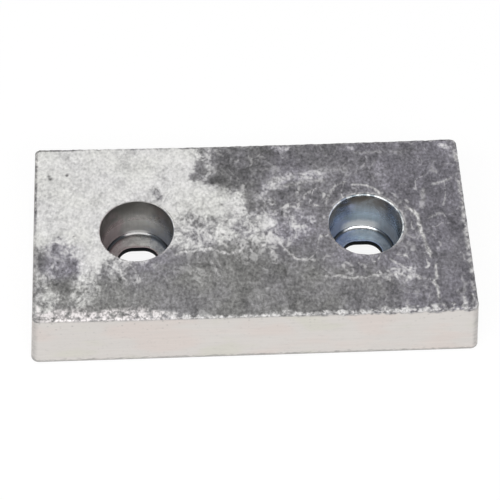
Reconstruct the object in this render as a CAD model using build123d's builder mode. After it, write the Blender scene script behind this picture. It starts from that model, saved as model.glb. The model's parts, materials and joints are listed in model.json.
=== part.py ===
from build123d import *
import math
import os

# Sacrificial anode for a hull: one cast block with two pressed steel cups cast into it.
# It is bolted on by two studs, whose nuts sit in the cups.
#
# Millimetres. The origin is the middle of the back face, which lies against the hull.
# +X runs along the block, +Y across it, and +Z points out of the front face, which faces the sea.

# ---- Cast block ----
block_length = 200.0          # along the back face
block_width = 100.0           # along the back face
block_height = 30.0           # at the two ends, where the front face is highest
side_draft = 5.0              # degrees that each side leans in towards the front face
back_corner_radius = 3.5      # upright corners, where they meet the back face
front_corner_radius = 2.5     # upright corners, where they meet the front face
back_edge_radius = 1.5
front_edge_radius = 0.9
dish_depth = 1.0              # how far the front face has sunk at mid-length, as the metal shrank

# ---- Studs ----
stud_pitch = 103.0
stud_diameter = 12.0
stud_clearance = 2.0          # between a stud and the sides of its slot, over both sides
stud_travel = 4.5             # how far a stud may lie from its nominal place, end to end

# ---- Pressed steel cups ----
sheet_thickness = 3.0
mouth_radius = 16.5           # inside the rim
wall_taper = 1.9              # degrees that the wall leans in towards the floor
knuckle_radius = 2.0          # inside, where the wall turns into the floor
rim_land = 1.0                # flat ring left on the rim, inside its bevel
punch_radius = 0.6            # edge of the slot that the punch went in at
cup_standoff = 3.6            # from the back face to the underside of a cup

# ---- Stud recesses in the back face ----
recess_lap = 1.0              # ring of a cup's flat underside that the casting covers
recess_draft = 8.0            # degrees
recess_edge_radius = 0.8

# ---- Worked out ----
face_inset = block_height * math.tan(math.radians(side_draft))
face_length = block_length - 2 * face_inset
face_width = block_width - 2 * face_inset
cup_centres = {"left": -stud_pitch / 2, "right": stud_pitch / 2}

# The front face is part of a wide cylinder that passes through both ends and the lowest line.
dish_radius = ((face_length / 2) ** 2 + dish_depth ** 2) / (2 * dish_depth)


def front_height(x):
    """Height of the dished front face above the back face, at a distance x from mid-length."""
    return block_height - dish_depth + dish_radius - math.sqrt(dish_radius ** 2 - x ** 2)


# A cup's rim stands level with the front face at the cup's own centre.
rim_height = front_height(stud_pitch / 2)
cup_depth = rim_height - cup_standoff
rim_radius = mouth_radius + sheet_thickness / math.cos(math.radians(wall_taper))
rim_bevel = rim_radius - mouth_radius - rim_land
outer_knuckle_radius = knuckle_radius + sheet_thickness

# The flat part of a cup's underside ends where the outer knuckle starts.
knuckle_reach = outer_knuckle_radius * math.tan(math.radians(90 - wall_taper) / 2)
underside_radius = rim_radius - cup_depth * math.tan(math.radians(wall_taper)) - knuckle_reach
recess_radius = underside_radius - recess_lap

slot_width = stud_diameter + stud_clearance
slot_length = slot_width + stud_travel


def bowl(centre, radius, depth, knuckle, bevel=0.0):
    """A solid round bowl form at x = centre, hanging from the rim's height with tapered walls.

    radius is at the rim, knuckle rounds the corner where the wall turns into the floor, and
    bevel cuts that much off the rim's outer edge.
    """
    floor_radius = radius - depth * math.tan(math.radians(wall_taper))
    with BuildPart() as form:
        with BuildSketch(Plane((centre, 0, rim_height), x_dir=(1, 0, 0), z_dir=(0, -1, 0))) as section:
            with BuildLine():
                Polyline((0, 0), (0, -depth), (floor_radius, -depth), (radius, 0), close=True)
            make_face()
            outermost = section.vertices().sort_by(Axis.X)[-2:].sort_by(Axis.Y)
            fillet(outermost[0], radius=knuckle)
            if bevel:
                chamfer(section.vertices().sort_by(Axis.X)[-1], length=bevel)
        revolve(axis=Axis((centre, 0, 0), (0, 0, 1)))
    return form.part


def cup_outside(centre):
    """The outside of the cup at x = centre, with its bevelled rim and no hollow yet.

    A cup and its seat in the casting both come from this form, so steel and cast metal meet.
    """
    return bowl(centre, rim_radius, cup_depth, outer_knuckle_radius, bevel=rim_bevel)


os.makedirs("parts", exist_ok=True)

# Cups: pressed from sheet, so floor and wall are one thickness. The cast metal closes over
# the bevelled rim and so keeps a cup in its seat.
for side, centre in cup_centres.items():
    with BuildPart() as insert_cup:
        add(cup_outside(centre))
        add(bowl(centre, mouth_radius, cup_depth - sheet_thickness, knuckle_radius), mode=Mode.SUBTRACT)
        with BuildSketch(Plane((centre, 0, cup_standoff))):
            SlotOverall(slot_length, slot_width)
        extrude(amount=sheet_thickness, mode=Mode.SUBTRACT)
        # The punch drew the sheet in a little round the slot's upper edge.
        cup_floor = insert_cup.faces().filter_by(Axis.Z).sort_by(Axis.Z)[1]
        fillet(cup_floor.inner_wires().edges(), radius=punch_radius)
    insert_cup.part.label = f"insert_cup_{side}"
    export_step(insert_cup.part, f"parts/insert_cup_{side}.step")

# Casting: a tapered block whose front face has sunk along its length.
with BuildPart() as anode_casting:
    with BuildSketch():
        RectangleRounded(block_length, block_width, back_corner_radius)
    with BuildSketch(Plane.XY.offset(block_height)):
        RectangleRounded(face_length, face_width, front_corner_radius)
    loft(ruled=True)

    with BuildSketch(Plane.XZ):
        with BuildLine():
            left_end = (-face_length / 2, block_height)
            right_end = (face_length / 2, block_height)
            ThreePointArc(left_end, (0, block_height - dish_depth), right_end)
            Line(right_end, left_end)
        make_face()
    extrude(amount=block_width, both=True, mode=Mode.SUBTRACT)

    fillet(anode_casting.faces().sort_by(Axis.Z)[-1].edges(), radius=front_edge_radius)
    fillet(anode_casting.faces().sort_by(Axis.Z)[0].edges(), radius=back_edge_radius)

    for centre in cup_centres.values():
        # Seat: the bevelled form of a cup, and the way up from its rim to the front face.
        add(cup_outside(centre), mode=Mode.SUBTRACT)
        with BuildSketch(Plane((centre, 0, rim_height))):
            Circle(mouth_radius + rim_land)
        extrude(amount=dish_depth, mode=Mode.SUBTRACT)

        # Recess for the stud's foot, from the back face up to the underside of the cup.
        with BuildSketch(Plane((centre, 0, cup_standoff))):
            Circle(recess_radius)
        extrude(amount=-cup_standoff, taper=-recess_draft, mode=Mode.SUBTRACT)

    back_face = anode_casting.faces().sort_by(Axis.Z)[0]
    fillet(back_face.inner_wires().edges(), radius=recess_edge_radius)
anode_casting.part.label = "anode_casting"
export_step(anode_casting.part, "parts/anode_casting.step")
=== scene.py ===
"""Looks of a bolt-on sacrificial anode: a cast block that holds two zinc plated steel cups.

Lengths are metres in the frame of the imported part: +X runs along the block, +Y across it, and
+Z points out of the wear face.
"""

import json
import logging
import math
from dataclasses import dataclass, field
from enum import Enum
from typing import Sequence

import bmesh
import bpy
import numpy as np
from mathutils import Matrix, Vector


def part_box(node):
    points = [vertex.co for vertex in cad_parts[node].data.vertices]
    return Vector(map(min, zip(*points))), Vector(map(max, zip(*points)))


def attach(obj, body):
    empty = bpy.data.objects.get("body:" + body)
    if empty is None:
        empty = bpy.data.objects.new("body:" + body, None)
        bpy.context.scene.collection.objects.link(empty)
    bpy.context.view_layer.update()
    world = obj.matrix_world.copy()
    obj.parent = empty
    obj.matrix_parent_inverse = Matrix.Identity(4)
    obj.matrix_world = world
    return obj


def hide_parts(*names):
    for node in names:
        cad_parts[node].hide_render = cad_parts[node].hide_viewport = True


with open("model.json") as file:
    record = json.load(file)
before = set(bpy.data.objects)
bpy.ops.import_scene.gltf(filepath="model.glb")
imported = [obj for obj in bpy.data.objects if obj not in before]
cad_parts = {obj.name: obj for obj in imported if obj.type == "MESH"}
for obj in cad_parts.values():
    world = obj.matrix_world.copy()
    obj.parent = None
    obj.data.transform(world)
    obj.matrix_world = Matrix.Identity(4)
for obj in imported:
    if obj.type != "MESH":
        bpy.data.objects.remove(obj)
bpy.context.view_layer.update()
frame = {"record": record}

log = logging.getLogger("anode")

MM = 0.001
BODY = "root"
FRAME_SIDE = 500        # pixels along each side of the render
SENSOR_WIDTH = 36.0     # millimetres
WELD_GAP = 0.002 * MM   # points closer than this become one

Colour = tuple[float, float, float]
Path = tuple[tuple[float, float], ...]
Masks = dict[str, np.ndarray | float]
Numbers = np.ndarray | float


# --------------------------------------------------------------------------- arrays

def smoothstep(low: float, high: float, value: Numbers) -> Numbers:
    """0 at low, 1 at high, and 3t^2 - 2t^3 of the way t between them."""
    t = np.clip((value - low) / (high - low), 0.0, 1.0)
    return t * t * (3.0 - 2.0 * t)


def fall(low: float, high: float, value: Numbers) -> Numbers:
    """1 at low and 0 at high, by a smoothstep."""
    return 1 - smoothstep(low, high, value)


def mix(a: Numbers, b: Numbers, share: Numbers) -> Numbers:
    """The share b of b and the rest of a."""
    return a + (b - a) * share


def gradient_noise(x: np.ndarray, y: np.ndarray, cell: float, seed: int) -> np.ndarray:
    """Smooth noise, about -1 to 1, whose bumps are roughly one cell across.

    Each corner of a square lattice holds a random direction. The value at a point blends, by a
    smoothstep, the products of those directions with the way from their corner to the point.

    Args:
        x: First coordinate of each point.
        y: Second coordinate of each point.
        cell: Side of a lattice square.
        seed: Chooses the directions.

    Returns:
        One value for each point.
    """
    lattice, gain = 128, 1.5
    angle = np.random.default_rng(seed).uniform(0.0, 2.0 * math.pi, (lattice, lattice))
    u, v = x / cell, y / cell
    i, j = np.floor(u).astype(int), np.floor(v).astype(int)
    fu, fv = u - i, v - j

    def corner(di: int, dj: int) -> np.ndarray:
        """Product of one corner's direction with the way to the point."""
        turn = angle[(i + di) % lattice, (j + dj) % lattice]
        return np.cos(turn) * (fu - di) + np.sin(turn) * (fv - dj)

    su, sv = smoothstep(0.0, 1.0, fu), smoothstep(0.0, 1.0, fv)
    near = mix(corner(0, 0), corner(1, 0), su)
    far = mix(corner(0, 1), corner(1, 1), su)
    return gain * mix(near, far, sv)


def fractal_noise(x: np.ndarray, y: np.ndarray, cell: float, seed: int, octaves: int = 3,
                  fade: float = 0.5) -> np.ndarray:
    """Sum of gradient noises, each with half the cell and that share of the height of the last."""
    layers = [gradient_noise(x, y, cell / 2 ** n, seed + n) * fade ** n for n in range(octaves)]
    return np.sum(layers, axis=0)


def rim_noise(angle: np.ndarray, cell: float, seed: int) -> np.ndarray:
    """Fractal noise at each angle of a ring as wide as a cup's rim."""
    radius = 17 * MM
    return fractal_noise(radius * np.cos(angle), radius * np.sin(angle), cell, seed)


def turns(count: int) -> np.ndarray:
    """That many even steps round a circle, starting at 0."""
    return np.arange(count) * 2 * math.pi / count


def stepped(stops: Sequence[float], cells: Sequence[int]) -> np.ndarray:
    """Numbers from the first stop to the last, with that many even steps between two stops."""
    spans = [np.linspace(a, b, n, endpoint=False) for a, b, n in zip(stops[:-1], stops[1:], cells)]
    return np.concatenate([*spans, [stops[-1]]])


def raised(plan: np.ndarray, height: Numbers) -> np.ndarray:
    """Points of a plan, whose last axis is x and y, with their heights."""
    level = np.broadcast_to(height, plan.shape[:-1])
    return np.concatenate([plan, level[..., None]], -1)


def to_runs(x: np.ndarray, y: np.ndarray, start: np.ndarray, run: np.ndarray) -> tuple[np.ndarray, ...]:
    """Ways and gaps from straight runs to points.

    The nearest place on a run is where the way from its start to the point, projected on the
    run, falls between its ends.

    Args:
        x: First coordinate of each point, in any shape.
        y: Second coordinate of each point.
        start: Start of each run.
        run: Way from each run's start to its end.

    Returns:
        Four arrays of points by runs: the way from the start along x and y, the share of the run
        at its nearest place, and the gap there.
    """
    wx, wy = x.ravel()[:, None] - start[:, 0], y.ravel()[:, None] - start[:, 1]
    share = np.clip((wx * run[:, 0] + wy * run[:, 1]) / (run ** 2).sum(1), 0.0, 1.0)
    return wx, wy, share, np.hypot(wx - share * run[:, 0], wy - share * run[:, 1])


# --------------------------------------------------------------------------- meshes

def placed(name: str, data: bpy.types.ID) -> bpy.types.Object:
    """Puts a mesh, lamp or camera into the scene.

    Args:
        name: Name of the object.
        data: What the object shows.

    Returns:
        The object.
    """
    item = bpy.data.objects.new(name, data)
    bpy.context.scene.collection.objects.link(item)
    return item


@dataclass
class Shell:
    """Grids of points that are welded edge to edge into one closed mesh."""

    mask_names: tuple[str, ...]
    points: list[np.ndarray] = field(default_factory=list)
    quads: list[np.ndarray] = field(default_factory=list)
    triangles: list[np.ndarray] = field(default_factory=list)
    masks: dict[str, list[np.ndarray]] = field(default_factory=dict)

    def _take(self, points: np.ndarray, masks: Masks) -> int:
        """Stores points and their masks.

        Args:
            points: Array whose last axis is the coordinates.
            masks: Values of each mask, in a shape that spreads over the points. A mask that
                isn't given is 0.

        Returns:
            The number of the first point.
        """
        start = sum(len(p) for p in self.points)
        self.points.append(points.reshape(-1, 3))
        for name in self.mask_names:
            values = np.broadcast_to(masks.get(name, 0.0), points.shape[:-1])
            self.masks.setdefault(name, []).append(values.ravel())
        return start

    def grid(self, points: np.ndarray, masks: Masks, closed: bool = True,
             keep: np.ndarray | None = None) -> None:
        """Adds a grid of rows and columns of points, with a quad in each cell.

        Args:
            points: Array of rows, columns and three coordinates.
            masks: Values of each mask, for all points, for each row or for each point.
            closed: Whether the last column joins the first.
            keep: For each cell, whether it gets its quad.
        """
        rows, columns = points.shape[:2]
        number = self._take(points, masks) + np.arange(rows * columns).reshape(rows, columns)
        if closed:
            number = np.concatenate([number, number[:, :1]], axis=1)
        cells = np.stack([number[:-1, :-1], number[:-1, 1:], number[1:, 1:], number[1:, :-1]], -1)
        self.quads.append(cells.reshape(-1, 4) if keep is None else cells[keep])

    def halving(self, fine: np.ndarray, coarse: np.ndarray, masks: Masks) -> None:
        """Joins a closed loop to one of half as many points, with three triangles to each pair.

        Args:
            fine: Points of the loop with more points.
            coarse: Points of the other, each facing every second point of the first.
            masks: One number for each mask, for all these points.
        """
        count = len(fine)
        a, b = self._take(fine, masks), self._take(coarse, masks)
        even = np.arange(0, count, 2)
        f0, f1, f2 = a + even, a + even + 1, a + (even + 2) % count
        c0, c1 = b + even // 2, b + (even // 2 + 1) % (count // 2)
        corners = ((f0, f1, c0), (f1, c1, c0), (f1, f2, c1))
        self.triangles.append(np.concatenate([np.stack(three, -1) for three in corners]))

    def finished(self, name: str, sharp_angle: float) -> bpy.types.Object:
        """Welds everything and turns the faces outwards.

        Args:
            name: Name of the object.
            sharp_angle: Edges that bend by more than this, in radians, stay crisp.

        Returns:
            The object, in the scene.
        """
        mesh = bpy.data.meshes.new(name)
        faces = np.concatenate(self.quads).tolist()
        if self.triangles:
            faces += np.concatenate(self.triangles).tolist()
        mesh.from_pydata(np.concatenate(self.points), [], faces)
        for mask, values in self.masks.items():
            attribute = mesh.attributes.new(mask, "FLOAT", "POINT")
            attribute.data.foreach_set("value", np.concatenate(values).astype(np.float32))
        work = bmesh.new()
        work.from_mesh(mesh)
        bmesh.ops.remove_doubles(work, verts=work.verts, dist=WELD_GAP)
        loose = [v for v in work.verts if not v.link_faces]
        bmesh.ops.delete(work, geom=loose, context="VERTS")
        bmesh.ops.recalc_face_normals(work, faces=work.faces)
        open_edges = sum(not edge.is_manifold for edge in work.edges)
        work.to_mesh(mesh)
        work.free()
        mesh.shade_smooth()
        mesh.set_sharp_from_angle(angle=sharp_angle)
        log.info("%s: %d faces, %d open edges", name, len(mesh.polygons), open_edges)
        return placed(name, mesh)


# --------------------------------------------------------------------------- shader nodes

@dataclass(frozen=True)
class Signal:
    """Output of a node. Sums, differences and products of signals add math nodes."""

    nodes: "Nodes"
    socket: bpy.types.NodeSocket

    def __add__(self, other: "Signal | float") -> "Signal":
        """The sum."""
        return self.nodes.math("ADD", self, other)

    def __sub__(self, other: "Signal | float") -> "Signal":
        """The difference."""
        return self.nodes.math("SUBTRACT", self, other)

    def __mul__(self, other: "Signal | float") -> "Signal":
        """The product."""
        return self.nodes.math("MULTIPLY", self, other)

    def clamped(self) -> "Signal":
        """Has the math node hold its own result between 0 and 1."""
        self.socket.node.use_clamp = True
        return self

    def remap(self, low: "Signal | float", high: float,
              to_low: float = 0.0, to_high: float = 1.0) -> "Signal":
        """The value taken smoothly from one range to another, and held at the ends."""
        inputs = {"Value": self, "From Min": low, "From Max": high, "To Min": to_low, "To Max": to_high}
        return self.nodes.value("ShaderNodeMapRange", inputs, interpolation_type="SMOOTHSTEP")

    def stretched(self, x: float, y: float, z: float) -> "Signal":
        """Coordinates with each axis scaled by its own number."""
        return self.nodes.value("ShaderNodeMapping", {"Vector": self, "Scale": (x, y, z)})

    def noise(self, scale: float, detail: float = 3.0, rough: float = 0.55, warp: float = 0.0) -> "Signal":
        """Noise from 0 to 1 at these coordinates, with bumps about 1/scale metres across."""
        inputs = {"Vector": self, "Scale": scale, "Detail": detail, "Roughness": rough, "Distortion": warp}
        return self.nodes.value("ShaderNodeTexNoise", inputs)


Input = Signal | float | Sequence[float]


class Nodes:
    """A node tree with short ways to add the nodes that the finishes need."""

    def __init__(self, tree: bpy.types.NodeTree) -> None:
        """Starts on an empty tree."""
        self.tree = tree
        tree.nodes.clear()

    def add(self, kind: str, inputs: dict[str | int, Input] | None = None,
            **settings: object) -> bpy.types.Node:
        """Adds a node.

        Args:
            kind: Blender's name of the node.
            inputs: For each input, by name or number, a constant or the signal that feeds it.
            settings: Properties of the node.

        Returns:
            The node.
        """
        node = self.tree.nodes.new(kind)
        for name, value in settings.items():
            setattr(node, name, value)
        for name, value in (inputs or {}).items():
            if isinstance(value, Signal):
                self.tree.links.new(value.socket, node.inputs[name])
            else:
                node.inputs[name].default_value = value
        return node

    def value(self, kind: str, inputs: dict[str | int, Input] | None = None, output: str | int = 0,
              **settings: object) -> Signal:
        """One output of a new node."""
        return Signal(self, self.add(kind, inputs, **settings).outputs[output])

    def math(self, operation: str, a: Input, b: Input = 0.0) -> Signal:
        """Result of a math operation on two numbers."""
        return self.value("ShaderNodeMath", {0: a, 1: b}, operation=operation)

    def colour_mix(self, share: Input, a: Input, b: Input, blend: str = "MIX") -> Signal:
        """Colour b over colour a, as far as share says."""
        a, b = ((*paint, 1.0) if isinstance(paint, tuple) else paint for paint in (a, b))
        return self.value("ShaderNodeMix", {0: share, 6: a, 7: b}, 2, data_type="RGBA", blend_type=blend)

    def shaded(self, colour: Signal, by: Signal) -> Signal:
        """A colour times a number."""
        grey = self.value("ShaderNodeCombineColor", {0: by, 1: by, 2: by})
        return self.colour_mix(1.0, colour, grey, "MULTIPLY")

    def ramp(self, value: Signal, stops: Sequence[tuple[float, Colour]]) -> Signal:
        """Colour of a ramp.

        Args:
            value: Place on the ramp.
            stops: Places and their colours.

        Returns:
            The colour.
        """
        node = self.add("ShaderNodeValToRGB", {0: value})
        marks = node.color_ramp.elements
        for number, (place, colour) in enumerate(stops):
            mark = marks[number] if number < 2 else marks.new(place)
            mark.position, mark.color = place, (*colour, 1.0)
        return Signal(self, node.outputs[0])

    def mask(self, name: str) -> Signal:
        """Value of one of the mesh's own masks."""
        return self.value("ShaderNodeAttribute", output="Fac", attribute_name=name)

    def place(self) -> Signal:
        """Object coordinates."""
        return self.value("ShaderNodeTexCoord", output="Object")

    def axes(self, where: Signal) -> list[Signal]:
        """The three coordinates of a place."""
        node = self.add("ShaderNodeSeparateXYZ", {0: where})
        return [Signal(self, output) for output in node.outputs]

    def group(self, tree: bpy.types.NodeTree, **inputs: Input) -> Signal:
        """First output of a shader group that is placed with its own values."""
        return self.value("ShaderNodeGroup", inputs, node_tree=tree)

    def metal(self, colour: Input, metallic: Input, roughness: Input, bump: dict[str, Input],
              **constants: float) -> None:
        """Ends a material with its shader.

        Args:
            colour: Base colour.
            metallic: How metallic it is.
            roughness: How rough it is.
            bump: Inputs of the bump that turns the normal.
            constants: Other inputs of the shader, with spaces written as underscores.
        """
        inputs = {"Base Color": colour, "Metallic": metallic, "Roughness": roughness,
                  "Normal": self.value("ShaderNodeBump", bump)}
        inputs |= {name.replace("_", " "): value for name, value in constants.items()}
        self.add("ShaderNodeOutputMaterial", {0: self.value("ShaderNodeBsdfPrincipled", inputs)})


def new_material(name: str) -> tuple[bpy.types.Material, Nodes]:
    """Makes an empty material.

    Args:
        name: Name of the material.

    Returns:
        The material and its nodes.
    """
    material = bpy.data.materials.new(name)
    material.use_nodes = True
    return material, Nodes(material.node_tree)


def shader_group(name: str, inputs: dict[str, float | None], output: str) -> tuple[Nodes, list[Signal]]:
    """Makes an empty shader group with named sockets.

    Args:
        name: Name of the group.
        inputs: For each input, the default of a float, or None for a vector.
        output: Name of the float that it puts out.

    Returns:
        The group's nodes, and the signal of each input.
    """
    tree = bpy.data.node_groups.new(name, "ShaderNodeTree")
    for label, default in inputs.items():
        kind = "NodeSocketVector" if default is None else "NodeSocketFloat"
        socket = tree.interface.new_socket(label, in_out="INPUT", socket_type=kind)
        if default is not None:
            socket.default_value = default
    tree.interface.new_socket(output, in_out="OUTPUT", socket_type="NodeSocketFloat")
    nodes = Nodes(tree)
    start = nodes.add("NodeGroupInput")
    return nodes, [Signal(nodes, start.outputs[label]) for label in inputs]


def grain_group() -> bpy.types.NodeTree:
    """Fine crystalline grain: mottles of two sizes, added up.

    Returns:
        A group with Vector and Size in, and Height out.
    """
    nodes, (vector, size) = shader_group("grain", {"Vector": None, "Size": 1.0}, "Height")
    where = nodes.value("ShaderNodeVectorMath", {0: vector, "Scale": size}, operation="SCALE")
    height = where.noise(260.0, 4.0, 0.6, 0.6) + where.noise(900.0, 3.0, 0.6) * 0.5
    nodes.add("NodeGroupOutput", {"Height": height})
    return nodes.tree


def speck_group() -> bpy.types.NodeTree:
    """Scattered round specks, one in some of the cells of a Voronoi pattern.

    Returns:
        A group with Vector, Scale, Share and Radius in, and Speck (0 to 1) out.
    """
    nodes, (vector, scale, share, radius) = shader_group(
        "specks", {"Vector": None, "Scale": 300.0, "Share": 0.2, "Radius": 0.25}, "Speck")
    cells = nodes.add("ShaderNodeTexVoronoi", {"Vector": vector, "Scale": scale}, feature="F1")
    lot = nodes.value("ShaderNodeSeparateColor", {0: Signal(nodes, cells.outputs["Color"])})
    near = Signal(nodes, cells.outputs["Distance"]).remap(radius, 0.0)
    nodes.add("NodeGroupOutput", {"Speck": nodes.math("LESS_THAN", lot, share) * near})
    return nodes.tree


@dataclass(frozen=True)
class Groups:
    """The shader groups that the finishes share."""

    grain: bpy.types.NodeTree
    specks: bpy.types.NodeTree

    @staticmethod
    def made() -> "Groups":
        """Builds each group once."""
        return Groups(grain_group(), speck_group())


# --------------------------------------------------------------------------- finishes

@dataclass(frozen=True)
class CastFinish:
    """Oxide skin of the cast metal, which reads the block's masks.

    tone says how much of the wear face is rubbed pale, hue how far it turns from olive to violet,
    lace how many fine lap lines run over it, crest marks folds, torn crumbs and the painted
    highlights along the right end's edge and round the cups' lips, blush the pink crumbs, side the
    mould's own smooth faces, and pit the pores.
    """

    tones: tuple[tuple[float, Colour], ...] = (
        (0.0, (0.085, 0.085, 0.085)), (0.10, (0.120, 0.120, 0.120)), (0.25, (0.188, 0.188, 0.188)),
        (0.40, (0.258, 0.258, 0.258)), (0.55, (0.390, 0.390, 0.389)), (0.70, (0.545, 0.546, 0.544)),
        (0.85, (0.672, 0.674, 0.668)), (1.0, (0.76, 0.762, 0.755)))
    olive: Colour = (1.012, 1.004, 0.980)
    violet: Colour = (1.0, 0.962, 1.09)
    crest: Colour = (0.72, 0.71, 0.705)
    crest_pink: Colour = (0.90, 0.855, 0.85)
    side: Colour = (0.650, 0.620, 0.594)
    side_pink: Colour = (0.660, 0.602, 0.570)
    side_olive: Colour = (0.630, 0.611, 0.558)
    specks_and_shade: Colour = (0.34, 0.33, 0.32)
    pit: Colour = (0.05, 0.05, 0.052)
    metallic: float = 0.25
    specular: float = 0.35
    draft: float = math.radians(5.0)

    def _skin(self, nodes: Nodes, where: Signal) -> tuple[Signal, Signal, Signal]:
        """Colour, tone and height of the wear face.

        Clouds, mottles and grain move the tone up and down, and the steep middle of the ramp
        turns that into crumbly patches of pale metal in the dark skin.

        Args:
            nodes: Tree to build in.
            where: Object coordinates.

        Returns:
            The colour, the tone and the height.
        """
        along = where.stretched(1.0, 0.80, 1.0)
        cloud = along.noise(105.0, 5.0, 0.60, 0.9)
        mottle = along.noise(290.0, 4.0, 0.58, 0.7)
        grain = along.noise(820.0, 2.0, 0.50, 0.3)
        stir = (cloud - 0.5) * 0.60 + (mottle - 0.5) * 0.65 + (grain - 0.5) * 0.30
        pale = nodes.mask("tone")
        unsettled = pale.remap(0.28, 0.48, 0.86, 2.0) * pale.remap(0.66, 0.84, 1.0, 0.52)
        tone = pale + stir * unsettled

        # Lap lines: where a warped noise crosses its middle, broken up by the mottles.
        from_middle = nodes.math("ABSOLUTE", along.noise(62.0, 2.5, 0.50, 0.7) - 0.5)
        line = from_middle.remap(0.034, 0.004) * mottle.remap(0.44, 0.62)
        line = (line * nodes.mask("lace")).clamped()

        skin = nodes.ramp(tone, self.tones)
        hue = (nodes.mask("hue") + where.noise(40.0).remap(0.3, 0.7, -0.25, 0.25)).clamped()
        hue = hue * tone.remap(0.42, 0.72, 1.0, 0.4)
        olive, violet = (nodes.colour_mix(1.0, skin, tint, "MULTIPLY") for tint in (self.olive, self.violet))
        skin = nodes.colour_mix(hue, olive, violet)
        skin = nodes.shaded(skin, (grain - 0.5) * tone.remap(0.35, 0.75, 1.4, 0.6) + 1.0)
        skin = nodes.colour_mix(line, skin, self.crest)
        torn = nodes.colour_mix(nodes.mask("blush"), self.crest, self.crest_pink)
        torn = nodes.shaded(torn, grain.remap(0.36, 0.58, 0.50, 1.0))
        crest = (nodes.mask("crest") * mottle.remap(0.34, 0.50, 0.25, 1.0)).clamped()
        skin = nodes.colour_mix(crest, skin, torn)
        return skin, tone, mottle * 1.2 + grain * 0.4 + line * 0.8

    def _mould_face(self, nodes: Nodes, where: Signal, groups: Groups) -> tuple[Signal, Signal]:
        """Colour and height of the smooth sides: faint tints, streaks, specks, and painted shade along the
        foot and down the upright corners.

        Args:
            nodes: Tree to build in.
            where: Object coordinates.
            groups: The shared shader groups.

        Returns:
            The colour and the height.
        """
        x, y, z = nodes.axes(where)
        tint = where.stretched(34.0, 34.0, 80.0).noise(1.0, 2.0, 0.45)
        tint = tint + x.remap(-55.0 * MM, -92.0 * MM, 0.0, 0.14)
        colour = nodes.colour_mix(tint.remap(0.50, 0.66), self.side, self.side_pink)
        colour = nodes.colour_mix(tint.remap(0.46, 0.34), colour, self.side_olive)
        streak = where.stretched(50.0, 50.0, 900.0).noise(1.0, 3.0, 0.6)
        fleck = where.stretched(300.0, 300.0, 700.0).noise(1.0, 3.0, 0.6)
        texture = streak.remap(0.3, 0.7, 0.975, 1.018) * fleck.remap(0.25, 0.45, 0.93, 1.0)
        colour = nodes.shaded(colour, texture)

        # Painted contact shade: the sides darken near the floor, along a ragged line.
        ragged = z + (fleck - 0.5) * (4.0 * MM)
        foot_shade = ragged.remap(3.0 * MM, 1.3 * MM, 0.0, 0.9)
        # Upright corners, darkened as painted shade: both ways out, with the draft taken off, come close to
        # the back outline.
        leant = z * math.tan(self.draft)
        out_x, out_y = (nodes.math("ABSOLUTE", axis) + leant for axis in (x, y))
        corner = out_x.remap(96.6 * MM, 99.2 * MM) * out_y.remap(46.6 * MM, 49.2 * MM)
        corner = corner * fleck.remap(0.3, 0.6, 0.85, 0.4)
        specks = nodes.group(groups.specks, Vector=where, Scale=560.0, Share=0.26, Radius=0.42)
        strewn = specks * z.remap(18.0 * MM, 28.0 * MM, 0.12, 0.55)
        strewn = strewn * x.remap(-15.0 * MM, -50.0 * MM, 0.9, 1.4)
        # Painted shade at the foot and corners, and the real dark specks, all take the same grey.
        for share in (foot_shade, corner, strewn):
            colour = nodes.colour_mix(share, colour, self.specks_and_shade)
        return colour, streak * 0.25 + fleck * 0.25

    def material(self, groups: Groups) -> bpy.types.Material:
        """Builds the material.

        Args:
            groups: The shared shader groups.

        Returns:
            The material.
        """
        material, nodes = new_material("cast_skin")
        where = nodes.place()
        skin, tone, skin_height = self._skin(nodes, where)
        side, side_height = self._mould_face(nodes, where, groups)
        on_side = nodes.mask("side")
        colour = nodes.colour_mix(on_side, skin, side)
        colour = nodes.colour_mix(nodes.mask("pit"), colour, self.pit)
        height = nodes.value("ShaderNodeMix", {0: on_side, 2: skin_height, 3: side_height})
        nodes.metal(colour, self.metallic, tone.remap(0.0, 1.0, 0.46, 0.62),
                    {"Strength": 0.6, "Distance": 0.15 * MM, "Height": height},
                    Specular_IOR_Level=self.specular)
        return material


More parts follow.
